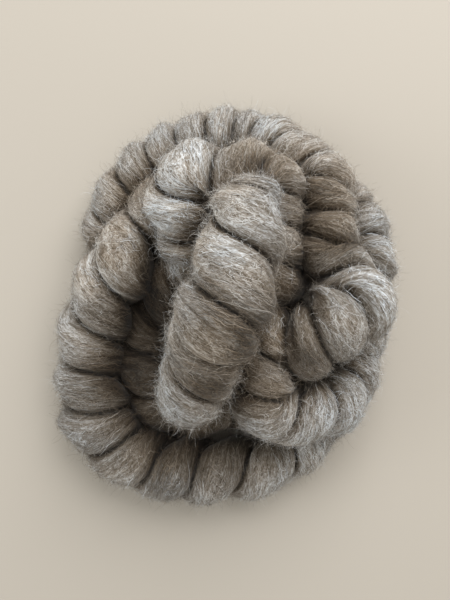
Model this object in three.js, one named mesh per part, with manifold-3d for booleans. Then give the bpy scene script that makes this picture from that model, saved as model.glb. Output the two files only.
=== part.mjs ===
// A hank of natural wool combed top: one soft length of fibre, doubled, twisted on itself into a
// two-strand rope and laid down in a loose coil. Millimetres, +Z up, lying on the plane z = 0.

import * as THREE from 'three';
import { mergeVertices } from 'three/addons/utils/BufferGeometryUtils.js';
import Module from 'manifold-3d';

const wasm = await Module();
wasm.setup();

// The twist: each bulge along the rope is one of its two strands crossing over, half a turn on from
// the bulge before. The strands cross the upper side quickly and squarely. The end strand is
// twisted more loosely, so the creases between its bulges are shallower.
const HALF_TURN = Math.PI;
const CREASE_DEPTH = 0.46;
const LOOSE_CREASE_DEPTH = 0.32;
const STRAND_FULLNESS = 2;
const QUICK_CROSSING = 0.4;
const SQUARE_CROSSING = 0.16;

// How finely the rope is cut into faces
const POINTS_A_QUARTER = 3;
const POINTS_AROUND = 4 * POINTS_A_QUARTER;
const SECTIONS_A_BULGE = 5;

// A bend tighter than the rope is thick presses its inner side flat, to this share of the bend
const INNER_SIDE_OF_BEND = 0.8;
const BEND_REACH = 0.25;

// The rope is built in short runs, each with round ends that lie inside its neighbours
const BULGES_A_RUN = 6;
const HIDDEN_END = 0.5;
const OPEN_END = 1;
const END_SECTIONS = 3;

// Where the rope lies. A row is one bulge: x, y and height of its middle, and half the rope's width.
// The first row of all is the tip of the end that is tucked under the front loop.
const OUTER_ROUND = [
  [63, -62, 16, 12],
  [50, -77, 17, 14],
  [26, -92, 18, 17],
  [-5, -97, 18, 19],
  [-29, -96, 18, 20],
  [-52, -89, 18, 20],
  [-70, -72, 19, 21],
  [-74, -52, 19, 21],
  [-75, -26, 20, 21],
  [-67, 0, 27, 20],
  [-53, 25, 37, 20],
  [-41, 46, 32, 17],
];
const UNDER_THE_ARCH = [
  [-23, 60, 19, 17],
  [2, 63, 17, 17],
  [27, 62, 17, 17],
  [48, 59, 17, 17],
];
const RIGHT_ROUND = [
  [65, 54, 17, 17],
  [74, 44, 18, 18],
  [79, 28, 18, 18],
  [74, 9, 19, 21],
  [74, -14, 21, 17],
];
const FRONT_LOOP = [
  [70, -34, 30, 16],
  [62, -52, 40, 16],
  [45, -59, 48, 16],
  [23, -58, 54, 17],
  [20, -40, 54, 16],
  [23, -20, 50, 14],
];
const ARCH = [
  [31, -1, 28, 15],
  [27, 13, 46, 15],
  [27, 31, 51, 15],
  [26, 48, 52, 16],
  [24, 62, 53, 17],
  [4, 65, 56, 17],
  [-20, 59, 60, 20],
  [-22, 42, 58, 17],
  [-19, 24, 49, 13],
];
const FLOOR_CROSSING = [
  [-33, 7, 30, 13],
  [-46, -16, 17, 14],
  [-45, -42, 15, 17],
  [-33, -63, 14, 16],
  [-6, -65, 15, 13],
  [18, -54, 20, 16],
  [34, -36, 36, 17],
];
const RIGHT_CURL = [
  [45, -23, 54, 18],
  [57, -12, 60, 20],
  [66, 2, 55, 22],
  [53, 21, 47, 16],
  [55, 37, 45, 17],
  [53, 52, 42, 16],
];
const BACK_ROUND = [
  [53, 67, 35, 16],
  [38, 79, 28, 17],
  [23, 88, 21, 17],
  [10, 91, 18, 17],
  [-3, 92, 18, 18],
  [-19, 88, 18, 17],
  [-34, 81, 18, 17],
  [-49, 70, 18, 17],
  [-61, 53, 18, 17],
  [-65, 33, 16, 15],
];
const ROOT_OF_END_STRAND = [
  [-52, 21, 15, 14],
  [-33, 22, 16, 15],
  [-14, 31, 18, 15],
  [0, 38, 30, 14],
  [6, 36, 54, 13],
  [9, 38, 84, 10],
];
// The end strand lies on top of the coil, with a rounded tip at each of its ends
const END_STRAND = [
  [10, 57, 90, 16],
  [9, 41, 92, 17],
  [4, 10, 93, 22],
  [-4, -11, 91, 22],
  [-9, -26, 82, 20],
  [-17, -48, 69, 18],
  [-21, -58, 61, 13],
];
const WHOLE_COURSE = [
  ...OUTER_ROUND,
  ...UNDER_THE_ARCH,
  ...RIGHT_ROUND,
  ...FRONT_LOOP,
  ...ARCH,
  ...FLOOR_CROSSING,
  ...RIGHT_CURL,
  ...BACK_ROUND,
  ...ROOT_OF_END_STRAND,
];

// The middle of the whole coil's footprint, in the measures above, becomes the origin
const MIDDLE_X = 0.5;
const MIDDLE_Y = -3.3;

// Edges shorter than this are left out where two runs meet
const TOLERANCE = 0.05;

// A block this large trims the underside flat where the coil lies on its surface
const TRIM_SIZE = 400;

const WOOL = { color: 0x8b8176, roughness: 1.0, metalness: 0.0 };

// One length of rope: how deep its creases are, and its middle line and half width at a place counted
// in bulges from its first row
function makeRope(rows, creaseDepth) {
  const middles = rows.map(([x, y, height]) => new THREE.Vector3(x - MIDDLE_X, y - MIDDLE_Y, height));
  const line = new THREE.CatmullRomCurve3(middles, false, 'catmullrom', 0.5);
  const last = rows.length - 1;
  return {
    last,
    creaseDepth,
    middle: (place) => line.getPoint(place / last),
    along: (place) => line.getTangent(place / last),
    halfWidth: (place) => {
      const row = Math.min(Math.floor(place), last - 1);
      return THREE.MathUtils.lerp(rows[row][3], rows[row + 1][3], place - row);
    },
  };
}

// How far the rope has twisted at a place
function twistAt(place) {
  return HALF_TURN * place - (QUICK_CROSSING / 2) * Math.sin(2 * HALF_TURN * place);
}

// The angle of a section's point from its strand's crest: the points are closer near the creases
function angleFromCrest(index) {
  const quarter = index / POINTS_A_QUARTER;
  const crest = 2 * Math.round(quarter / 2);
  return (crest + Math.sin((quarter - crest) * (Math.PI / 2))) * (Math.PI / 2);
}

// How far the rope's surface stands out, as a share of its half width, at an angle from a crest
function strandProfile(fromCrest, creaseDepth) {
  const share = Math.abs(Math.asin(Math.sin(fromCrest))) / (Math.PI / 2);
  return 1 - creaseDepth * (1 - Math.sqrt(1 - Math.min(share, 1) ** STRAND_FULLNESS));
}

// The bend at a place: the direction of its inner side and its radius
function bendAt(rope, place) {
  const before = Math.max(place - BEND_REACH, 0);
  const after = Math.min(place + BEND_REACH, rope.last);
  const turn = rope.along(after).sub(rope.along(before));
  const length = rope.middle(after).distanceTo(rope.middle(before));
  return { inward: turn.clone().normalize(), radius: length / Math.max(turn.length(), 1e-6) };
}

// One section across the rope: a crest points up at the middle of each bulge
function section(rope, { place, scale }) {
  const middle = rope.middle(place);
  const along = rope.along(place);
  const side = new THREE.Vector3(0, 0, 1).cross(along).normalize();
  const up = along.clone().cross(side);
  const bend = bendAt(rope, place);
  const pressed = bend.radius * INNER_SIDE_OF_BEND;
  const crest = Math.PI / 2 - twistAt(place);
  const points = [];
  for (let i = 0; i < POINTS_AROUND; i += 1) {
    const fromCrest = angleFromCrest(i);
    const reach = rope.halfWidth(place) * scale * strandProfile(fromCrest, rope.creaseDepth);
    const sideways = reach * Math.cos(crest + fromCrest);
    const offset = side.clone().multiplyScalar(sideways);
    offset.addScaledVector(up, reach * Math.sin(crest + fromCrest));
    offset.addScaledVector(along, -SQUARE_CROSSING * sideways);
    const inward = offset.dot(bend.inward);
    if (inward > pressed) offset.addScaledVector(bend.inward, pressed - inward);
    points.push(middle.clone().add(offset));
  }
  return points;
}

// The places and sizes of the sections that round off an end of this length, from its tip inwards
function roundEnd(length) {
  const list = [];
  for (let i = 1; i < END_SECTIONS; i += 1) {
    const out = Math.cos((i / END_SECTIONS) * (Math.PI / 2));
    list.push({ out: length * out, scale: Math.sqrt(1 - out * out) });
  }
  return list;
}

// A closed run of rope from one place to another, with a round end beyond each
function runSolid(rope, run) {
  const steps = Math.round((run.to - run.from) * SECTIONS_A_BULGE);
  const stations = [
    ...roundEnd(run.startEnd).map(({ out, scale }) => ({ place: run.from - out, scale })),
    ...Array.from({ length: steps + 1 }, (_, i) => ({ place: run.from + i / SECTIONS_A_BULGE, scale: 1 })),
    ...roundEnd(run.lastEnd).reverse().map(({ out, scale }) => ({ place: run.to + out, scale })),
  ];
  const tips = [rope.middle(run.from - run.startEnd), rope.middle(run.to + run.lastEnd)];
  const points = [...stations.flatMap((station) => section(rope, station)), ...tips];
  const startTip = points.length - 2;
  const endTip = points.length - 1;
  const lastRing = (stations.length - 1) * POINTS_AROUND;
  const faces = [];
  for (let i = 0; i < POINTS_AROUND; i += 1) {
    const next = (i + 1) % POINTS_AROUND;
    for (let here = 0; here < lastRing; here += POINTS_AROUND) {
      const there = here + POINTS_AROUND;
      faces.push(here + i, here + next, there + next, here + i, there + next, there + i);
    }
    faces.push(startTip, next, i, endTip, lastRing + i, lastRing + next);
  }
  return solidFrom(new Float32Array(points.flatMap((p) => p.toArray())), new Uint32Array(faces));
}

// A whole rope as its overlapping runs
function ropeRuns(rows, creaseDepth) {
  const rope = makeRope(rows, creaseDepth);
  const first = OPEN_END;
  const last = rope.last - OPEN_END;
  const runs = [];
  for (let from = first; from < last; from += BULGES_A_RUN) {
    const to = Math.min(from + BULGES_A_RUN, last);
    const startEnd = from === first ? OPEN_END : HIDDEN_END;
    const lastEnd = to === last ? OPEN_END : HIDDEN_END;
    runs.push(runSolid(rope, { from, to, startEnd, lastEnd }));
  }
  return runs;
}

function solidFrom(vertProperties, triVerts) {
  return new wasm.Manifold(new wasm.Mesh({ numProp: 3, vertProperties, triVerts, tolerance: TOLERANCE }));
}

function solidFromGeometry(geometry) {
  geometry.deleteAttribute('normal');
  geometry.deleteAttribute('uv');
  const merged = mergeVertices(geometry);
  return solidFrom(merged.attributes.position.array, new Uint32Array(merged.index.array));
}

function geometryFromSolid(solid) {
  const { vertProperties, triVerts } = solid.getMesh();
  const geometry = new THREE.BufferGeometry();
  geometry.setAttribute('position', new THREE.BufferAttribute(vertProperties, 3));
  geometry.setIndex(new THREE.BufferAttribute(triVerts, 1));
  geometry.computeVertexNormals();
  return geometry;
}

// The whole coil in one piece: the small voids shut in between its bulges are left filled
function coilSolid() {
  const runs = [...ropeRuns(WHOLE_COURSE, CREASE_DEPTH), ...ropeRuns(END_STRAND, LOOSE_CREASE_DEPTH)];
  const below = new THREE.BoxGeometry(TRIM_SIZE, TRIM_SIZE, TRIM_SIZE).translate(0, 0, -TRIM_SIZE / 2);
  const joined = runs.reduce((whole, run) => whole.add(run)).subtract(solidFromGeometry(below));
  return joined.decompose().reduce((largest, piece) => (piece.volume() > largest.volume() ? piece : largest));
}

const twistedTop = new THREE.Mesh(geometryFromSolid(coilSolid()), new THREE.MeshStandardMaterial(WOOL));
twistedTop.name = 'twisted_top';

const hank = new THREE.Group();
hank.add(twistedTop);

export default hank;
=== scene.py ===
# A hank of natural wool combed top: one soft length of fibre, doubled, twisted on itself into a
# two-strand rope and laid down in a loose coil. The rope's rows are in millimetres, as in the model.

import copy
import math

import bpy
import numpy as np
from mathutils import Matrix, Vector
from mathutils.bvhtree import BVHTree


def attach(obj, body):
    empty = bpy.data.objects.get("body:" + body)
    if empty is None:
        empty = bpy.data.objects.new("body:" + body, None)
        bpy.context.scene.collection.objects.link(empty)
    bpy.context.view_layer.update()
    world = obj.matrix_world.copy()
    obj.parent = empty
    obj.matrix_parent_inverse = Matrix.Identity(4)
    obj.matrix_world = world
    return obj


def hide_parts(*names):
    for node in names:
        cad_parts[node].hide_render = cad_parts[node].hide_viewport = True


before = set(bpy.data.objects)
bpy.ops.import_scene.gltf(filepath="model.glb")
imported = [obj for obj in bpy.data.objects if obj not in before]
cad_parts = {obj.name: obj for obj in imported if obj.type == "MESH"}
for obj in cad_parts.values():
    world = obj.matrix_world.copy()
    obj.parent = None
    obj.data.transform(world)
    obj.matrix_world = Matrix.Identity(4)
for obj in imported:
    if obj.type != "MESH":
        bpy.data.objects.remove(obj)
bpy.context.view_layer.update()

# A millimetre in metres, and two tiny values that keep a place or a division in bounds
MM = 0.001
TINY = 1e-6
NO_LENGTH = 1e-9

# The dice for the ropes' own unevenness. Every other random draw has dice of its own
DICE = np.random.default_rng(41)

# Where the rope lies. A row is one bulge: x, y and height of its middle, and half the rope's width.
OUTER_ROUND = [
    [63, -62, 16, 12],
    [50, -77, 17, 14],
    [26, -92, 18, 17],
    [-5, -97, 18, 19],
    [-29, -96, 18, 20],
    [-52, -89, 18, 20],
    [-70, -72, 19, 21],
    [-74, -52, 19, 21],
    [-75, -26, 20, 21],
    [-67, 0, 27, 20],
    [-53, 25, 37, 20],
    [-41, 46, 32, 17],
]
UNDER_THE_ARCH = [
    [-23, 60, 19, 17],
    [2, 63, 17, 17],
    [27, 62, 17, 17],
    [48, 59, 17, 17],
]
RIGHT_ROUND = [
    [65, 54, 17, 17],
    [74, 44, 18, 18],
    [79, 28, 18, 18],
    [74, 9, 19, 21],
    [74, -14, 21, 17],
]
FRONT_LOOP = [
    [70, -34, 30, 16],
    [62, -52, 40, 16],
    [45, -59, 48, 16],
    [23, -58, 54, 17],
    [20, -40, 54, 16],
    [23, -20, 50, 14],
]
ARCH = [
    [31, -1, 28, 15],
    [27, 13, 46, 15],
    [27, 31, 51, 15],
    [26, 48, 52, 16],
    [24, 62, 53, 17],
    [4, 65, 56, 17],
    [-20, 59, 60, 20],
    [-22, 42, 58, 17],
    [-19, 24, 49, 13],
]
FLOOR_CROSSING = [
    [-33, 7, 30, 13],
    [-46, -16, 17, 14],
    [-45, -42, 15, 17],
    [-33, -63, 14, 16],
    [-6, -65, 15, 13],
    [18, -54, 20, 16],
    [34, -36, 36, 17],
]
RIGHT_CURL = [
    [45, -23, 54, 18],
    [57, -12, 60, 20],
    [66, 2, 55, 22],
    [53, 21, 47, 16],
    [55, 37, 45, 17],
    [53, 52, 42, 16],
]
BACK_ROUND = [
    [53, 67, 35, 16],
    [38, 79, 28, 17],
    [23, 88, 21, 17],
    [10, 91, 18, 17],
    [-3, 92, 18, 18],
    [-19, 88, 18, 17],
    [-34, 81, 18, 17],
    [-49, 70, 18, 17],
    [-61, 53, 18, 17],
    [-65, 33, 16, 15],
]
ROOT_OF_END_STRAND = [
    [-52, 21, 15, 14],
    [-33, 22, 16, 15],
    [-14, 31, 18, 15],
    [0, 38, 30, 14],
    [6, 36, 54, 13],
    [9, 38, 84, 10],
]
END_STRAND = [
    [10, 57, 90, 16],
    [9, 41, 92, 17],
    [4, 10, 93, 22],
    [-4, -11, 91, 22],
    [-9, -26, 82, 20],
    [-17, -48, 69, 18],
    [-21, -58, 61, 13],
]
WHOLE_COURSE = (
    OUTER_ROUND + UNDER_THE_ARCH + RIGHT_ROUND + FRONT_LOOP + ARCH
    + FLOOR_CROSSING + RIGHT_CURL + BACK_ROUND + ROOT_OF_END_STRAND
)

# The model's origin, in the rows' coordinates
MIDDLE = np.array([0.5, -3.3, 0.0])

# The twist and the strands' shape, as in the model
CREASE_DEPTH = 0.46
LOOSE_CREASE_DEPTH = 0.32
STRAND_FULLNESS = 2
QUICK_CROSSING = 0.4
SQUARE_CROSSING = 0.16
INNER_SIDE_OF_BEND = 0.8
BEND_REACH = 0.25

# How finely the rope's surface is cut into faces, and the step that slopes are measured over
POINTS_A_QUARTER = 12
POINTS_AROUND = 4 * POINTS_A_QUARTER
SECTIONS_A_BULGE = 18
SMALL_STEP = 0.01

# Uneven combing: long low ridges that run with the fibres, and lumps along each strand
RIDGES = 9
FEWEST_RIDGES_AROUND = 8
MOST_RIDGES_AROUND = 36
RIDGE_HEIGHT = 0.1
RIDGE_DRIFT = 1.5
LUMP_HEIGHT = 0.1

# A smooth random value is a sum of waves. Their lengths are these shares of the size asked for
WAVES = 7
WAVE_LENGTHS = (0.7, 1.6)

# The rope's surface laid out flat for its patterns, in millimetres, and in rows for baking
FIBRE_MAP = "Fibre"
BAKE_MAP = "OFBake"
STRAND_MM_A_BULGE = 57
ROPE_MM_AROUND = 96
MAP_ROWS = 8
BULGES_A_MAP_ROW = 10
MAP_ROW_FILL = 0.96

# How much open sky a spot sees is measured on a coarse grid of spots. The rays start this many
# millimetres off the wool and reach this many metres
SKY_SPOTS_A_BULGE = 5
SKY_SPOTS_AROUND = 24
SKY_DIRECTIONS = 40
OFF_THE_WOOL = 1.2
FAR = 0.3

# Fibres and sky spots keep this far from the rope's tips, in bulges
SPOT_MARGIN = 0.05
FIBRE_MARGIN = 0.04

# Fibres grow where the sky is open, and not below this height in millimetres
OPEN_SKY_POWER = 0.6
LOWEST_ROOT = 0.3
LOWEST_FIBRE = 0.05

# Fibres that lie along the strands: pieces, faces and knots, tries, and the seed of the first
# piece, then their tone, with its spread
CLOSE_PIECES = 3
CLOSE_FACES = 98000
CLOSE_KNOTS = 7
CLOSE_TRIES = 32000
CLOSE_SEED = 100
CLOSE_TONE = (0.69, 0.37)

# Their measures in millimetres: half width, length, crimp and its wave, and how they lift off
CLOSE_HALF_WIDTH = 0.08
CLOSE_LENGTH = (3.5, 8)
CRIMP = (0.2, 0.65)
CRIMP_WAVE = (2.4, 5)
LIFT = (1.6, 0.42)
RIPPLE = 0.15
RIPPLE_WAVE = 1.7
END_LIFT = (1.2, 0.5)
END_LIFT_POWER = 3

# How they lean away from the strand's course: the usual lean, how far it varies over how many
# millimetres, with the seed, and the spreads of straight and of crossing fibres
LEAN = 0.2
LEAN_CHANGE = 0.25
LEAN_SIZE = 35
LEAN_SEED = 9
LEAN_SPREADS = [0.3, 1.1]
LEAST_RUN_A_BULGE = 15
USUAL_RADIUS = 16

# Fibres that stand off the wool: the same, then how they rise, scatter, curl and wander, how deep
# their roots are in millimetres, and how far the ribbons face up
LOOSE_PIECES = 2
LOOSE_FACES = 77000
LOOSE_KNOTS = 7
LOOSE_TRIES = 33000
LOOSE_SEED = 200
LOOSE_TONE = (0.6, 0.15)
LOOSE_HALF_WIDTH = 0.035
LOOSE_LENGTH = (3, 12)
LOOSE_RISE = (0.1, 0.9)
LOOSE_SCATTER = 0.5
CURL = (0.15, 0.6)
WANDER = 0.15
ROOT_DEPTH = 0.3
FACING_UP = 1.2

# Fibres that bridge the creases: their pieces, the creases' depth under them, and how far their painted
# shade is eased
BRIDGE_PIECES = 2
BRIDGED_DEPTH = 0.74
BRIDGE_SHADE_EASING = 0.9

# A fibre is a ribbon that narrows to its tips. On the map it lies on a small spot, which is as
# far across as it is light, painted shade included, and as far up as it is brown
TIP_NARROWING = 0.75
TIP_POWER = 4
WIDTH_SPREAD = (0.7, 1.3)
WARMTH_SPREAD = 0.1
SPOT_HALF_WIDTH = 0.004
SPOT_LENGTH = 0.02
TONE_LIMITS = (0.02, 0.98)

# Streaks on the wool: how many a millimetre across and along the fibres, slant and fineness
STREAKS = [
    (2.0, 0.85, 0.6, 2),
    (1.8, 0.65, -0.35, 2),
    (1.1, 0.28, 0.2, 2),
    (0.35, 0.04, 0.1, 1),
]

# How the streaks sway from side to side: waves a millimetre, and the sway in millimetres
WAVINESS = [(0.08, 3), (0.45, 1.1)]

# How brown the wool is, from 0 to 1, and how it is mottled in warmth and in paleness: amount,
# size in millimetres and seed
USUAL_WARMTH = 0.45
WARMTH_MOTTLING = [(0.2, 60, 5), (0.14, 18, 6)]
WARMTH_LIMITS = (0.03, 0.97)
PALENESS_MOTTLING = [(0.06, 40, 7), (0.05, 9, 8)]

# Painted light and shade: patches of wool painted browner and darker where the coil lies in shade, and
# greyer and lighter where it should look lit. A row gives x, y and height of the patch's middle, its
# reach, how much browner and how much lighter
PAINTED_LIGHT_PATCHES = [
    [5, 70, 72, 14, 0.4, -0.3],
    [15, 62, 68, 12, 0.4, -0.5],
    [30, 66, 65, 16, 0.4, -0.2],
    [-10, 69, 73, 9, -0.3, 0.4],
    [-20, 50, 71, 12, -0.3, 0.8],
    [-32, 40, 70, 11, -0.3, 0.45],
    [-19, 21, 62, 13, -0.3, 0.75],
    [-44, 34, 51, 12, -0.2, 0.5],
    [-49, 57, 38, 12, 0.3, -0.45],
    [-69, 13, 45, 13, -0.3, 0.4],
    [-71, -6, 45, 10, 0.2, -0.45],
    [-5, 88, 34, 9, -0.2, 0.5],
    [23, 90, 37, 12, -0.4, 0.5],
    [44, 70, 47, 10, -0.3, 0.5],
    [51, 57, 57, 9, 0.4, -0.5],
    [55, 42, 58, 20, 0.5, -0.25],
    [61, 25, 62, 12, 0.4, -0.5],
    [59, 10, 71, 9, -0.4, 0.45],
    [45, 0, 67, 9, -0.2, 0.5],
    [28, -18, 63, 9, 0, 0.45],
    [72, 8, 70, 18, -0.6, 0.1],
    [66, -6, 75, 11, 0, -0.3],
    [84, -19, 33, 11, -0.4, 0.45],
    [88, 35, 30, 22, -0.5, 0.1],
    [42, -29, 70, 12, 0.4, -0.65],
    [25, -42, 69, 8, 0.4, -0.35],
    [22, -57, 70, 13, 0.1, -0.25],
    [59, -41, 50, 10, -0.2, 0.4],
    [62, -62, 50, 24, -0.5, 0.05],
    [-3, 32, 112, 14, -0.2, 0.15],
    [22, 22, 102, 14, 0.1, -0.4],
    [21, -3, 102, 14, 0.2, -0.65],
    [-11, -6, 112, 14, 0.3, -0.6],
    [-4, 9, 113, 10, 0.1, -0.35],
    [4, -14, 110, 9, 0.3, -0.4],
    [9, -22, 101, 10, 0.4, -0.65],
    [-5, -41, 93, 12, 0.4, -0.7],
    [-21, -32, 95, 11, 0.3, -0.35],
    [-27, -69, 27, 22, 0.5, -0.8],
    [-20, -66, 62, 11, 0.3, -0.45],
    [-37, 8, 43, 12, 0.5, -0.7],
    [-41, -6, 34, 14, 0.5, -0.8],
    [-50, -38, 30, 18, 0.5, -0.75],
    [-72, -42, 38, 18, 0.3, -0.3],
    [-80, -68, 32, 22, -0.3, -0.3],
    [-66, -87, 32, 13, 0, -0.3],
    [-36, -101, 35, 16, 0.1, -0.5],
    [-14, -94, 34, 10, 0.1, -0.4],
    [3, -97, 34, 11, 0.1, -0.4],
    [44, -86, 28, 12, -0.2, 0.3],
]

# Colours as the shader's own linear values. SHADES is painted shade: how dark the wool is painted at
# each share of open sky, so creases and hollows come out dark. The first fibre tone is the darkest,
# reached mostly under that painted shade
DARKEST_AND_SHADED_WOOL = (0.02, 0.014, 0.009)
DARK_WOOL = (0.13, 0.111, 0.085)
MID_WOOL = (0.295, 0.279, 0.252)
LIGHT_WOOL = (0.65, 0.7, 0.735)
SHADES = [
    (0.0, (0.03, 0.021, 0.012)),
    (0.3, (0.09, 0.067, 0.044)),
    (0.5, (0.29, 0.24, 0.185)),
    (0.7, (0.62, 0.575, 0.52)),
    (1.0, (1.0, 1.0, 1.0)),
]
BROWN = (0.92, 0.79, 0.65)
FIBRE_TONES = [(0.0, DARKEST_AND_SHADED_WOOL), (0.25, DARK_WOOL), (0.5, MID_WOOL), (1.0, LIGHT_WOOL)]
STREAK_TONES = [(0.42, DARK_WOOL), (0.5, MID_WOOL), (0.6, LIGHT_WOOL)]

# How the wool takes the light. The bump is in metres
WOOL_ROUGHNESS = 0.85
WOOL_SPECULAR = 0.2
SHEEN_WEIGHT = 0.15
SHEEN_ROUGHNESS = 0.5
SHEEN_TINT = (1.0, 0.96, 0.9)
STREAK_ROUGHNESS = 0.6
BUMP_STRENGTH = 0.6
BUMP_DISTANCE = 0.0006

# The colour sockets of a mix node: share, first and second colour, and the outcome
MIX_SHARE, MIX_FIRST, MIX_SECOND, MIX_OUTCOME = 0, 6, 7, 2

# The floor, the sky, and the lights: place, size, watts and colour. Lengths are in metres
FLOOR_COLOUR = (0.425, 0.388, 0.328)
FLOOR_ROUGHNESS = 0.7
FLOOR_SIZE = 6
FLOOR_HEIGHT = -0.0002
SKY_COLOUR = (1.0, 0.98, 0.95)
SKY_STRENGTH = 0.665
LIT_SPOT = (0, 0, 0.03)
LIGHTS = [
    ("window", (0.45, 1.05, 1.05), 1.4, 32, (0.98, 0.98, 1.0)),
    ("left_fill", (-1.5, 0.0, 0.9), 1.0, 9, (0.92, 0.96, 1.0)),
]

# The camera looks straight down. Its picture is this tall on the floor, in metres. The sensor's
# size, in millimetres, is that of the picture's longer side
CAMERA_HEIGHT = 0.4
PICTURE_HEIGHT = 0.36
SENSOR_SIZE = 36
NEAREST_SEEN = 0.01


def unit(vectors):
    """The vectors' directions, each 1 long."""
    return vectors / np.maximum(np.linalg.norm(vectors, axis=-1, keepdims=True), NO_LENGTH)


class Rope:
    """One length of rope. A place on it is counted in bulges from its first row."""

    def __init__(self, rows, crease_depth):
        table = np.array(rows, float)
        self.crease_depth = crease_depth
        self.last = len(rows) - 1
        points = table[:, :3] - MIDDLE
        before = 2 * points[0] - points[1]
        after = 2 * points[-1] - points[-2]
        self.points = np.vstack([before, points, after])
        self.widths = table[:, 3]
        arounds = DICE.integers(FEWEST_RIDGES_AROUND, MOST_RIDGES_AROUND, RIDGES)
        self.ridges = [
            (around, DICE.uniform(0, 2 * math.pi), DICE.uniform(-RIDGE_DRIFT, RIDGE_DRIFT))
            for around in arounds
        ]
        self.lumps = DICE.uniform(-1, 1, (2, self.last + 2))

    def span(self, place):
        """How far each place is past its row, and the four rows about it."""
        row = np.clip(np.floor(place), 0, self.last - 1).astype(int)
        share = (place - row)[..., None]
        return share, [self.points[row + k] for k in range(4)]

    def middle(self, place):
        t, (a, b, c, d) = self.span(place)
        square = (2 * a - 5 * b + 4 * c - d) * t**2
        return 0.5 * (2 * b + (c - a) * t + square + (3 * b - a - 3 * c + d) * t**3)

    def along(self, place):
        """The direction in which the rope runs."""
        t, (a, b, c, d) = self.span(place)
        square = 2 * (2 * a - 5 * b + 4 * c - d) * t
        return unit((c - a) + square + 3 * (3 * b - a - 3 * c + d) * t**2)

    def half_width(self, place):
        return np.interp(place, np.arange(self.last + 1), self.widths)

    def tip_scale(self, place):
        """The rope's size near its round ends, as a share of its full size."""
        out = np.clip(np.maximum(1 - place, place - (self.last - 1)), 0, 1)
        return np.sqrt(1 - out**2)

    def unevenness(self, place, angle):
        """How much the surface stands out for its ridges and lumps, as a share of the half width."""
        height = np.zeros(np.broadcast(place, angle).shape)
        for around, phase, drift in self.ridges:
            height = height + np.sin(around * angle + phase + drift * place) * RIDGE_HEIGHT / around
        bulges = np.arange(self.last + 2)
        first = np.interp(place + 0.5, bulges, self.lumps[0])
        second = np.interp(place + 0.5, bulges, self.lumps[1])
        lump = np.where(np.cos(angle) > 0, first, second) * np.cos(angle) ** 2
        return height + LUMP_HEIGHT * lump

    def surface(self, place, angle):
        """The point at a place on the rope and an angle from its first strand's crest."""
        middle = self.middle(place)
        along = self.along(place)
        side = unit(np.stack([-along[..., 1], along[..., 0], np.zeros_like(along[..., 0])], -1))
        up = np.cross(along, side)
        start = np.maximum(place - BEND_REACH, 0)
        end = np.minimum(place + BEND_REACH, self.last)
        turn = self.along(end) - self.along(start)
        length = np.linalg.norm(self.middle(end) - self.middle(start), axis=-1)
        pressed = INNER_SIDE_OF_BEND * length / np.maximum(np.linalg.norm(turn, axis=-1), TINY)
        twist = math.pi * place - QUICK_CROSSING / 2 * np.sin(2 * math.pi * place)
        around = math.pi / 2 - twist + angle
        share = np.abs(np.arcsin(np.clip(np.sin(angle), -1, 1))) / (math.pi / 2)
        profile = 1 - self.crease_depth * (1 - np.sqrt(1 - np.minimum(share, 1) ** STRAND_FULLNESS))
        reach = self.half_width(place) * self.tip_scale(place) * profile
        reach = reach * (1 + self.unevenness(place, angle))
        sideways = (reach * np.cos(around))[..., None]
        offset = side * sideways + up * (reach * np.sin(around))[..., None]
        offset = offset - along * (SQUARE_CROSSING * sideways)
        inward = unit(turn)
        beyond = np.minimum(pressed - (offset * inward).sum(-1), 0)
        return middle + offset + inward * beyond[..., None]

    def normal(self, place, angle):
        """The direction straight out of the surface."""
        by_place = self.surface(place + SMALL_STEP, angle) - self.surface(place - SMALL_STEP, angle)
        by_angle = self.surface(place, angle + SMALL_STEP) - self.surface(place, angle - SMALL_STEP)
        return unit(np.cross(by_angle, by_place))


def smooth_field(points, size, seed):
    """A smooth random value, mostly from -1 to 1, that changes over about this many millimetres."""
    dice = np.random.default_rng(seed)
    total = np.zeros(points.shape[:-1])
    for _ in range(WAVES):
        direction = unit(dice.normal(size=3)) * 2 * math.pi / (size * dice.uniform(*WAVE_LENGTHS))
        total = total + np.sin(points @ direction + dice.uniform(0, 2 * math.pi))
    return total / math.sqrt(WAVES)


def painted_light_shares(points):
    """How much each patch of painted light and shade counts at each point, from 0 to 1: one column for
    a patch.
    """
    table = np.array(PAINTED_LIGHT_PATCHES, float)
    gaps = points[..., None, :] + MIDDLE - table[:, :3]
    return np.exp(-((gaps**2).sum(-1)) / table[:, 3] ** 2)


def mottled(points, rows):
    """The sum of smooth random values, one for each row of amount, size and seed."""
    return sum(amount * smooth_field(points, size, seed) for amount, size, seed in rows)


def warmth_and_painted_light_of(points):
    """How brown the wool is, from 0 for grey to 1 for brown: its own mottled warmth, with the patches'
    painted light and shade.
    """
    painted_browner = np.array(PAINTED_LIGHT_PATCHES)[:, 4]
    warmth_with_painted_light = USUAL_WARMTH + mottled(points, WARMTH_MOTTLING) + painted_light_shares(points) @ painted_browner
    return np.clip(warmth_with_painted_light, *WARMTH_LIMITS)


def paleness_and_painted_light_of(points):
    """How light the wool's colour is, as a share of its usual colour: its own mottling, with the
    patches' painted light and shade.
    """
    painted_lighter = np.array(PAINTED_LIGHT_PATCHES)[:, 5]
    return 1 + mottled(points, PALENESS_MOTTLING) + painted_light_shares(points) @ painted_lighter


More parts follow.
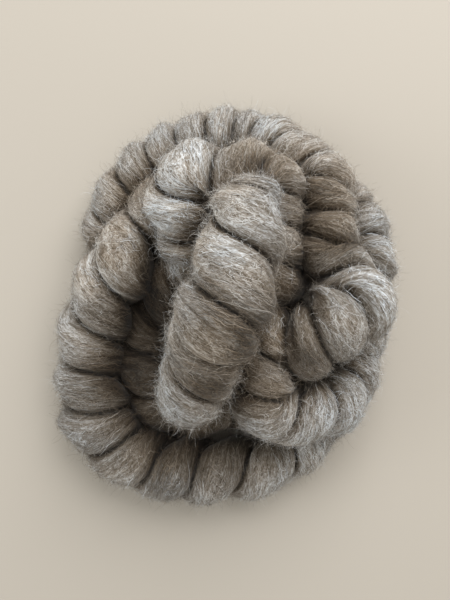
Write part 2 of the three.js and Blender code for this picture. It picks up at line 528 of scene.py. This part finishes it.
def make_piece(name, points, face_groups, maps):
    """A piece from points in millimetres, groups of faces with as many corners each, and UV maps."""
    mesh = bpy.data.meshes.new(name)
    loops = np.concatenate([faces.ravel() for faces in face_groups]).astype(np.int32)
    totals = np.concatenate([np.full(len(faces), faces.shape[1]) for faces in face_groups])
    mesh.vertices.add(len(points))
    mesh.vertices.foreach_set("co", (points * MM).astype(np.float32).ravel())
    mesh.loops.add(len(loops))
    mesh.loops.foreach_set("vertex_index", loops)
    mesh.polygons.add(len(totals))
    starts = np.concatenate([[0], np.cumsum(totals)[:-1]])
    mesh.polygons.foreach_set("loop_start", starts.astype(np.int32))
    mesh.polygons.foreach_set("loop_total", totals.astype(np.int32))
    mesh.update(calc_edges=True)
    for label, places in maps.items():
        layer = mesh.uv_layers.new(name=label, do_init=False)
        layer.uv.foreach_set("vector", places.astype(np.float32).ravel())
    mesh.shade_smooth()
    piece = bpy.data.objects.new(name, mesh)
    bpy.context.scene.collection.objects.link(piece)
    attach(piece, "root")
    return piece


def angles_around():
    """The angles of a section's points: they are closer near the creases."""
    quarter = np.arange(POINTS_AROUND) / POINTS_A_QUARTER
    crest = 2 * np.round(quarter / 2)
    return (crest + np.sin((quarter - crest) * (math.pi / 2))) * (math.pi / 2)


def rope_mesh(rope, began):
    """One rope's points, faces and maps. began is how many bulges lie before it on the bake map."""
    places = np.arange(1, rope.last * SECTIONS_A_BULGE) / SECTIONS_A_BULGE
    place, angle = np.meshgrid(places, angles_around(), indexing="ij")
    points = rope.surface(place, angle)
    rings = len(places)
    tips = rope.middle(np.array([0.0, float(rope.last)]))
    ring, spot = np.meshgrid(np.arange(rings - 1), np.arange(POINTS_AROUND), indexing="ij")
    after = (spot + 1) % POINTS_AROUND
    here = ring * POINTS_AROUND
    there = here + POINTS_AROUND
    quads = np.stack([here + spot, here + after, there + after, there + spot], -1).reshape(-1, 4)
    around = np.arange(POINTS_AROUND)
    following = (around + 1) % POINTS_AROUND
    last_ring = (rings - 1) * POINTS_AROUND
    start_tip = np.full(POINTS_AROUND, rings * POINTS_AROUND)
    caps = np.vstack([
        np.stack([start_tip, following, around], -1),
        np.stack([start_tip + 1, last_ring + around, last_ring + following], -1),
    ])
    low = places[ring].reshape(-1)
    high = places[ring + 1].reshape(-1)
    left = (spot / POINTS_AROUND).reshape(-1)
    right = ((spot + 1) / POINTS_AROUND).reshape(-1)
    across = np.concatenate([np.stack([left, right, right, left], -1).ravel(), np.zeros(caps.size)])
    along = np.concatenate([np.stack([low, low, high, high], -1).ravel(), np.zeros(caps.size)])
    square_row = np.repeat(np.floor((low + began) / BULGES_A_MAP_ROW), 4)
    row = np.concatenate([square_row, np.zeros(caps.size)])
    bake_along = (along + began) / BULGES_A_MAP_ROW - row
    bake_across = (row + across * MAP_ROW_FILL) / MAP_ROWS
    fibre = np.stack([across * ROPE_MM_AROUND, (along + began) * STRAND_MM_A_BULGE], -1)
    bake = np.stack([np.clip(bake_along, 0, 1), bake_across], -1)
    points = np.vstack([points.reshape(-1, 3), tips])
    points[:, 2] = np.maximum(points[:, 2], 0)
    return points, quads, caps, fibre, bake


def make_body(ropes):
    """The whole coil's surface as one piece."""
    points, quads, caps, square_maps, cap_maps = [], [], [], [], []
    count = began = 0
    for rope in ropes:
        own, own_quads, own_caps, fibre, bake = rope_mesh(rope, began)
        points.append(own)
        quads.append(own_quads + count)
        caps.append(own_caps + count)
        both = np.stack([fibre, bake])
        square_maps.append(both[:, :own_quads.size])
        cap_maps.append(both[:, own_quads.size:])
        count += len(own)
        began += rope.last + 1
    points = np.vstack(points)
    fibre, bake = np.concatenate(square_maps + cap_maps, axis=1)
    faces = [np.vstack(quads), np.vstack(caps)]
    body = make_piece("twisted_wool", points, faces, {FIBRE_MAP: fibre, BAKE_MAP: bake})
    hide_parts("twisted_top")
    return body, points, faces


def colour_body(body, ropes, points):
    """Stores how brown, how pale and how open each point of the body is, for its material: the open
    share sets the painted shade, and brown and pale carry the patches' painted light and shade.
    """
    sky = []
    for rope in ropes:
        places = np.arange(1, rope.last * SECTIONS_A_BULGE) / SECTIONS_A_BULGE
        place, angle = np.meshgrid(places, angles_around(), indexing="ij")
        sky += [sky_at(rope, place, angle).ravel(), np.ones(2)]
    shares = {"warmth_with_painted_light": warmth_and_painted_light_of(points), "paleness_with_painted_light": paleness_and_painted_light_of(points), "sky": np.concatenate(sky)}
    for name, values in shares.items():
        layer = body.data.attributes.new(name, "FLOAT", "POINT")
        layer.data.foreach_set("value", values.astype(np.float32))


def measure_sky(ropes, tree):
    """Measures on a grid how much of the sky that each spot faces is open, from 0 to 1.

    The rays' directions are spread evenly over the sky by turning each by the golden angle.
    """
    turn = math.pi * (3 - math.sqrt(5))
    rise = (np.arange(SKY_DIRECTIONS) + 0.5) / SKY_DIRECTIONS
    across = np.sqrt(1 - rise**2)
    around = np.arange(SKY_DIRECTIONS) * turn
    directions = np.stack([across * np.cos(around), across * np.sin(around), rise], -1)
    rays = [Vector(direction) for direction in directions]
    for rope in ropes:
        places = np.arange(rope.last * SKY_SPOTS_A_BULGE + 1) / SKY_SPOTS_A_BULGE
        angles = np.arange(SKY_SPOTS_AROUND) * (2 * math.pi / SKY_SPOTS_AROUND)
        places = np.clip(places, SPOT_MARGIN, rope.last - SPOT_MARGIN)
        place, angle = np.meshgrid(places, angles, indexing="ij")
        normals = rope.normal(place, angle).reshape(-1, 3)
        starts = (rope.surface(place, angle).reshape(-1, 3) + OFF_THE_WOOL * normals) * MM
        facing = np.maximum(normals @ directions.T, 0)
        sky = np.zeros(len(starts))
        for spot, (start, shares) in enumerate(zip(starts, facing)):
            for ray in np.flatnonzero(shares):
                if tree.ray_cast(Vector(start), rays[ray], FAR)[0] is None:
                    sky[spot] += shares[ray]
        share = (sky / np.maximum(facing.sum(1), 1)).reshape(place.shape)
        # The end strand's shallower creases get their open share raised, so that less shade is painted
        # in them
        rope.sky = share ** (rope.crease_depth / CREASE_DEPTH)


def sky_at(rope, place, angle):
    """The open share of the sky at any spot, from the grid."""
    row = np.clip(place, 0, rope.last - TINY) * SKY_SPOTS_A_BULGE
    column = (angle / (2 * math.pi) % 1) * SKY_SPOTS_AROUND
    low, left = np.floor(row).astype(int), np.floor(column).astype(int) % SKY_SPOTS_AROUND
    right = (left + 1) % SKY_SPOTS_AROUND
    up, over = row - low, column - np.floor(column)
    near = rope.sky[low, left] * (1 - over) + rope.sky[low, right] * over
    far = rope.sky[low + 1, left] * (1 - over) + rope.sky[low + 1, right] * over
    return near * (1 - up) + far * up


def filled(rope):
    """The same rope with its creases partly filled, for the fibres that bridge them, with its open sky
    raised so that less shade is painted on them.
    """
    fuller = copy.copy(rope)
    fuller.crease_depth = BRIDGED_DEPTH * rope.crease_depth
    fuller.sky = np.maximum(rope.sky, BRIDGE_SHADE_EASING * np.sqrt(rope.sky))
    return fuller


def pick_spots(ropes, tries, most, dice):
    """Random spots on the wool, most where it is open: rope number, place, angle and open sky."""
    lasts = np.array([rope.last for rope in ropes], float)
    number = (dice.random(tries) < lasts[1] / lasts.sum()).astype(int)
    place = dice.random(tries) * (lasts[number] - 2 * SPOT_MARGIN) + SPOT_MARGIN
    angle = dice.random(tries) * 2 * math.pi
    sky = np.zeros(tries)
    height = np.zeros(tries)
    for which, rope in enumerate(ropes):
        own = number == which
        sky[own] = sky_at(rope, place[own], angle[own])
        height[own] = rope.surface(place[own], angle[own])[:, 2]
    open_enough = dice.random(tries) < sky**OPEN_SKY_POWER
    kept = np.flatnonzero(open_enough & (height > LOWEST_ROOT))[:most]
    return number[kept], place[kept], angle[kept], sky[kept]


def follow_surface(ropes, number, place, angle):
    """Points on the wool and the directions out of it, for places on the ropes that number names."""
    points, normals = np.zeros(place.shape + (3,)), np.zeros(place.shape + (3,))
    for which, rope in enumerate(ropes):
        own = number == which
        held = np.clip(place[own], FIBRE_MARGIN, rope.last - FIBRE_MARGIN)
        points[own] = rope.surface(held, angle[own])
        normals[own] = rope.normal(held, angle[own])
    return points, normals


def strand_speed(ropes, number, place, angle):
    """How many millimetres a fibre runs in one bulge."""
    ahead, _ = follow_surface(ropes, number, place + SMALL_STEP, angle)
    behind, _ = follow_surface(ropes, number, place - SMALL_STEP, angle)
    run = np.linalg.norm(ahead - behind, axis=-1) / (2 * SMALL_STEP)
    return np.maximum(run, LEAST_RUN_A_BULGE)


def tones_with_painted_shade(sky, usual, dice):
    """How light each fibre is, from 0 to 1, with painted shade: darker by the green of SHADES where
    little sky is open.
    """
    middle, spread = usual
    shade = np.interp(sky, [share for share, _ in SHADES], [green for _, (_, green, _) in SHADES])
    return dice.normal(middle, spread, len(sky)) * shade


def close_fibres(ropes, spots, dice):
    """Fibres that lie along the strands. Returns their points and the directions out of the wool."""
    number, place, angle = spots
    count = len(place)
    length = dice.uniform(*CLOSE_LENGTH, count)
    run = np.linspace(-0.5, 0.5, CLOSE_KNOTS) * length[:, None]
    speed = strand_speed(ropes, number, place, angle)
    middles, _ = follow_surface(ropes, number, place, angle)
    lean = LEAN + LEAN_CHANGE * smooth_field(middles, LEAN_SIZE, LEAN_SEED)
    lean = lean + dice.normal(0, 1, count) * dice.choice(LEAN_SPREADS, count)
    crimp = dice.uniform(*CRIMP, count)[:, None]
    wave = dice.uniform(*CRIMP_WAVE, count)[:, None]
    phase = dice.uniform(0, 2 * math.pi, count)[:, None]
    sideways = lean[:, None] * run + crimp * np.sin(2 * math.pi * run / wave + phase)
    places = place[:, None] + run / speed[:, None]
    angles = angle[:, None] + sideways / USUAL_RADIUS
    points, normals = follow_surface(ropes, number, places, angles)
    lift = dice.gamma(*LIFT, count)[:, None]
    lift = lift + RIPPLE * np.sin(2 * math.pi * run / (wave * RIPPLE_WAVE) + 2 * phase)
    near_end = np.abs(np.linspace(-1, 1, CLOSE_KNOTS)) ** END_LIFT_POWER
    ends = near_end * dice.gamma(*END_LIFT, count)[:, None]
    points = points + normals * (lift + ends)[..., None]
    return points, normals


def loose_fibres(ropes, spots, dice):
    """Fibres that stand off the wool in curls and loops."""
    number, place, angle = spots
    count = len(place)
    start, normals = follow_surface(ropes, number, place, angle)
    ahead, _ = follow_surface(ropes, number, place + SMALL_STEP, angle)
    along = unit(ahead - start) * dice.choice([-1, 1], count)[:, None]
    rise = dice.uniform(*LOOSE_RISE, count)[:, None]
    direction = unit(along + rise * normals + LOOSE_SCATTER * dice.normal(size=(count, 3)))
    step = dice.uniform(*LOOSE_LENGTH, count)[:, None] / (LOOSE_KNOTS - 1)
    axis = unit(dice.normal(size=(count, 3)))
    curl = dice.uniform(*CURL, count)[:, None]
    points = [start - ROOT_DEPTH * normals]
    for _ in range(LOOSE_KNOTS - 1):
        bend = np.cross(axis, direction) * curl
        direction = unit(direction + bend + WANDER * dice.normal(size=(count, 3)))
        points.append(points[-1] + direction * step)
    points = np.stack(points, 1)
    upwards = unit(normals + FACING_UP * np.array([0, 0, 1]))
    return points, np.repeat(upwards[:, None], LOOSE_KNOTS, 1)


def make_fibres(name, points, normals, half_width, tone_with_painted_shade, dice):
    """A piece of thin ribbons that face out of the wool, one for each row of points."""
    count, knots = points.shape[:2]
    side = unit(np.cross(np.gradient(points, axis=1), normals))
    taper = 1 - TIP_NARROWING * np.abs(np.linspace(-1, 1, knots)) ** TIP_POWER
    reach = (half_width * dice.uniform(*WIDTH_SPREAD, count))[:, None] * taper
    half = side * reach[..., None]
    edges = np.stack([points - half, points + half], 2).reshape(-1, 3)
    edges[:, 2] = np.maximum(edges[:, 2], LOWEST_FIBRE)
    first = (np.arange(count)[:, None] * knots + np.arange(knots - 1)) * 2
    faces = np.stack([first, first + 1, first + 3, first + 2], -1).reshape(-1, 4)
    middles = points[:, knots // 2]
    # The patches' painted light and shade reach each fibre through its warmth and its tone
    warmth_with_painted_light = np.clip(warmth_and_painted_light_of(middles) + dice.normal(0, WARMTH_SPREAD, count), *WARMTH_LIMITS)
    tone_with_painted_shade = np.clip(tone_with_painted_shade * paleness_and_painted_light_of(middles), *TONE_LIMITS)
    left, right = tone_with_painted_shade - SPOT_HALF_WIDTH, tone_with_painted_shade + SPOT_HALF_WIDTH
    across = np.repeat(np.stack([left, right, right, left], -1), knots - 1, axis=0)
    low = np.tile(np.arange(knots - 1) / (knots - 1), count) * SPOT_LENGTH - SPOT_LENGTH / 2
    high = low + SPOT_LENGTH / (knots - 1)
    upward = np.stack([low, low, high, high], -1) + np.repeat(warmth_with_painted_light, knots - 1)[:, None]
    spots = np.stack([across, upward], -1).reshape(-1, 2)
    return make_piece(name, edges, [faces], {FIBRE_MAP: spots, BAKE_MAP: spots})


def colour_ramp(nodes, links, share, stops):
    """The colour of a ramp at a share from 0 to 1."""
    ramp = nodes.new("ShaderNodeValToRGB")
    while len(ramp.color_ramp.elements) < len(stops):
        ramp.color_ramp.elements.new(0.5)
    for element, (position, colour) in zip(ramp.color_ramp.elements, stops):
        element.position = position
        element.color = (*colour, 1)
    links.new(share, ramp.inputs[0])
    return ramp.outputs[0]


def wool_shader(name):
    """A new wool material and its nodes, with the sheen and roughness that all the wool shares."""
    material = bpy.data.materials.new(name)
    material.use_nodes = True
    nodes, links = material.node_tree.nodes, material.node_tree.links
    shader = nodes["Principled BSDF"]
    shader.inputs["Roughness"].default_value = WOOL_ROUGHNESS
    shader.inputs["Specular IOR Level"].default_value = WOOL_SPECULAR
    shader.inputs["Sheen Weight"].default_value = SHEEN_WEIGHT
    shader.inputs["Sheen Roughness"].default_value = SHEEN_ROUGHNESS
    shader.inputs["Sheen Tint"].default_value = (*SHEEN_TINT, 1)
    return material, nodes, links, shader


def fibre_map(nodes):
    """The places on the fibre map."""
    place = nodes.new("ShaderNodeUVMap")
    place.uv_map = FIBRE_MAP
    return place.outputs[0]


def stored(nodes, name):
    """A value that colour_body stored with the points."""
    attribute = nodes.new("ShaderNodeAttribute")
    attribute.attribute_name = name
    return attribute.outputs["Fac"]


def multiplied(nodes, links, first):
    """A mix node that multiplies the first colour by its second."""
    mix = nodes.new("ShaderNodeMix")
    mix.data_type = "RGBA"
    mix.blend_type = "MULTIPLY"
    links.new(first, mix.inputs[MIX_FIRST])
    return mix


def tinted(nodes, links, colour, warmth_with_painted_light):
    """The colour with brown laid over it as far as warmth says, the patches' painted light and shade
    included.
    """
    mix = multiplied(nodes, links, colour)
    mix.inputs[MIX_SECOND].default_value = (*BROWN, 1)
    links.new(warmth_with_painted_light, mix.inputs[MIX_SHARE])
    return mix.outputs[MIX_OUTCOME]


def fibre_material():
    """The fibres' material: the place on the map says how light and how brown a fibre is, painted shade
    and the patches' painted light included.
    """
    material, nodes, links, shader = wool_shader("wool_fibres")
    parts = nodes.new("ShaderNodeSeparateXYZ")
    links.new(fibre_map(nodes), parts.inputs[0])
    tone_with_painted_shade, warmth_with_painted_light = parts.outputs[0], parts.outputs[1]
    colour = colour_ramp(nodes, links, tone_with_painted_shade, FIBRE_TONES)
    links.new(tinted(nodes, links, colour, warmth_with_painted_light), shader.inputs["Base Color"])
    return material


def swaying_course(nodes, links):
    """The map's places, shifted from side to side so that the streaks sway."""
    place = course = fibre_map(nodes)
    for fineness, sway in WAVINESS:
        bend = nodes.new("ShaderNodeTexNoise")
        bend.inputs["Scale"].default_value = fineness
        bend.inputs["Detail"].default_value = 0
        links.new(place, bend.inputs["Vector"])
        bent = nodes.new("ShaderNodeVectorMath")
        bent.operation = "MULTIPLY_ADD"
        bent.inputs[1].default_value = (sway, 0, 0)
        links.new(bend.outputs["Color"], bent.inputs[0])
        links.new(course, bent.inputs[2])
        course = bent.outputs[0]
    return course


def streaks(nodes, links, course):
    """The mean of the stretched noises that STREAKS names."""
    total = None
    for across, along, slant, detail in STREAKS:
        stretch = nodes.new("ShaderNodeMapping")
        stretch.inputs["Rotation"].default_value = (0, 0, slant)
        stretch.inputs["Scale"].default_value = (across, along, 1)
        links.new(course, stretch.inputs[0])
        noise = nodes.new("ShaderNodeTexNoise")
        noise.inputs["Scale"].default_value = 1
        noise.inputs["Detail"].default_value = detail
        noise.inputs["Roughness"].default_value = STREAK_ROUGHNESS
        links.new(stretch.outputs[0], noise.inputs["Vector"])
        share = nodes.new("ShaderNodeMath")
        share.operation = "MULTIPLY_ADD"
        share.inputs[1].default_value = 1 / len(STREAKS)
        share.inputs[2].default_value = 0
        links.new(noise.outputs["Fac"], share.inputs[0])
        if total:
            links.new(total, share.inputs[2])
        total = share.outputs[0]
    return total


def body_material():
    """The body's material: streaks along the fibres, with painted shade where little of the sky is open
    and the patches' painted light and shade.
    """
    material, nodes, links, shader = wool_shader("combed_wool")
    total = streaks(nodes, links, swaying_course(nodes, links))
    colour = colour_ramp(nodes, links, total, STREAK_TONES)
    # Painted shade from the open sky, scaled by a paleness that carries the patches' painted light and
    # shade
    painted_shade_and_paleness = nodes.new("ShaderNodeVectorMath")
    painted_shade_and_paleness.operation = "SCALE"
    links.new(colour_ramp(nodes, links, stored(nodes, "sky"), SHADES), painted_shade_and_paleness.inputs[0])
    links.new(stored(nodes, "paleness_with_painted_light"), painted_shade_and_paleness.inputs["Scale"])
    tint = tinted(nodes, links, colour, stored(nodes, "warmth_with_painted_light"))
    shaded = multiplied(nodes, links, tint)
    shaded.inputs[MIX_SHARE].default_value = 1
    links.new(painted_shade_and_paleness.outputs[0], shaded.inputs[MIX_SECOND])
    links.new(shaded.outputs[MIX_OUTCOME], shader.inputs["Base Color"])
    bump = nodes.new("ShaderNodeBump")
    bump.inputs["Strength"].default_value = BUMP_STRENGTH
    bump.inputs["Distance"].default_value = BUMP_DISTANCE
    links.new(total, bump.inputs["Height"])
    links.new(bump.outputs[0], shader.inputs["Normal"])
    return material


def add_floor():
    bpy.ops.mesh.primitive_plane_add(size=FLOOR_SIZE, location=(0, 0, FLOOR_HEIGHT))
    floor = bpy.context.object
    floor.name = "floor"
    material = bpy.data.materials.new("pale_floor")
    material.use_nodes = True
    shader = material.node_tree.nodes["Principled BSDF"]
    shader.inputs["Base Color"].default_value = (*FLOOR_COLOUR, 1)
    shader.inputs["Roughness"].default_value = FLOOR_ROUGHNESS
    floor.data.materials.append(material)


def add_lights():
    for name, place, size, watts, colour in LIGHTS:
        lamp = bpy.data.lights.new(name, "AREA")
        lamp.size = size
        lamp.energy = watts
        lamp.color = colour
        holder = bpy.data.objects.new(name, lamp)
        holder.location = place
        aim = Vector(LIT_SPOT) - Vector(place)
        holder.rotation_euler = aim.to_track_quat("-Z", "Y").to_euler()
        bpy.context.scene.collection.objects.link(holder)
    world = bpy.data.worlds.new("soft_studio")
    world.use_nodes = True
    background = world.node_tree.nodes["Background"]
    background.inputs["Color"].default_value = (*SKY_COLOUR, 1)
    background.inputs["Strength"].default_value = SKY_STRENGTH
    bpy.context.scene.world = world
    bpy.context.scene.view_settings.view_transform = "Standard"


def add_camera():
    lens = bpy.data.cameras.new("camera")
    lens.sensor_width = SENSOR_SIZE
    lens.lens = lens.sensor_width * CAMERA_HEIGHT / PICTURE_HEIGHT
    lens.clip_start = NEAREST_SEEN
    camera = bpy.data.objects.new("camera", lens)
    camera.location = (-MIDDLE[0] * MM, -MIDDLE[1] * MM, CAMERA_HEIGHT)
    bpy.context.scene.collection.objects.link(camera)
    bpy.context.scene.camera = camera


def add_close_fibres(ropes, wool):
    """The pieces of fibres along the strands. The last ones bridge the creases."""
    bridged = [filled(rope) for rope in ropes]
    most = CLOSE_FACES // (CLOSE_KNOTS - 1)
    for number in range(CLOSE_PIECES):
        dice = np.random.default_rng(CLOSE_SEED + number)
        under = bridged if number >= CLOSE_PIECES - BRIDGE_PIECES else ropes
        *spots, sky = pick_spots(under, CLOSE_TRIES, most, dice)
        lines, normals = close_fibres(under, spots, dice)
        tone_with_painted_shade = tones_with_painted_shade(sky, CLOSE_TONE, dice)
        piece = make_fibres(f"combed_fibres_{number + 1}", lines, normals, CLOSE_HALF_WIDTH, tone_with_painted_shade, dice)
        piece.data.materials.append(wool)


def add_loose_fibres(ropes, wool):
    """The pieces of fibres that stand off the wool."""
    most = LOOSE_FACES // (LOOSE_KNOTS - 1)
    for number in range(LOOSE_PIECES):
        dice = np.random.default_rng(LOOSE_SEED + number)
        *spots, sky = pick_spots(ropes, LOOSE_TRIES, most, dice)
        lines, normals = loose_fibres(ropes, spots, dice)
        tone_with_painted_shade = tones_with_painted_shade(sky, LOOSE_TONE, dice)
        piece = make_fibres(f"loose_fibres_{number + 1}", lines, normals, LOOSE_HALF_WIDTH, tone_with_painted_shade, dice)
        piece.data.materials.append(wool)


def main():
    ropes = [Rope(WHOLE_COURSE, CREASE_DEPTH), Rope(END_STRAND, LOOSE_CREASE_DEPTH)]
    body, points, faces = make_body(ropes)
    tree = BVHTree.FromPolygons((points * MM).tolist(), faces[0].tolist())
    measure_sky(ropes, tree)
    colour_body(body, ropes, points)
    body.data.materials.append(body_material())
    wool = fibre_material()
    add_close_fibres(ropes, wool)
    add_loose_fibres(ropes, wool)
    add_floor()
    add_lights()
    add_camera()


main()
